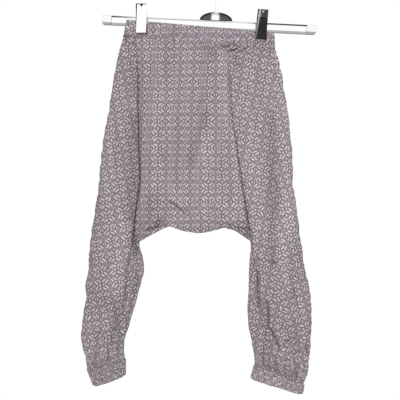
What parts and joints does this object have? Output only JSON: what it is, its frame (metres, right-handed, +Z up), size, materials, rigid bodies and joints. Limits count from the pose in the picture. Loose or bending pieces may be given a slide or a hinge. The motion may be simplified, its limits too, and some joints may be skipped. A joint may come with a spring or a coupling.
{
  "type": "harem pants on a clip hanger",
  "caption": "Child's low-crotch harem pants with elastic waistband and gathered ankle cuffs, hanging flat from a metal clip hanger.",
  "frame": {"origin": "underside of the hook's crown, where a rail carries the hanger", "axes": "+X towards the wearer's left, +Y towards the back of the garment, +Z up; the garment hangs down -Z"},
  "size_m": [0.3871, 0.0315, 0.7077],
  "materials": {
    "printed_cotton": "matte plain weave with a small all-over flower repeat",
    "printed_casing": "the same print, elastic casing",
    "printed_cuff": "the same print, doubled cuff",
    "bright_steel": "bright plated steel",
    "brushed_bar": "satin bar"
  },
  "bodies": {
    "root": {"front": "printed_cotton", "back": "printed_cotton", "waistband": "printed_casing", "cuff_left": "printed_cuff", "cuff_right": "printed_cuff", "bar": "brushed_bar", "cap_left": "brushed_bar", "cap_right": "brushed_bar", "hub": "bright_steel", "hook": "bright_steel", "clip_left_front": "bright_steel", "clip_left_back": "bright_steel", "clip_left_pin": "bright_steel", "clip_right_front": "bright_steel", "clip_right_back": "bright_steel", "clip_right_pin": "bright_steel"}
  },
  "joints": []
}
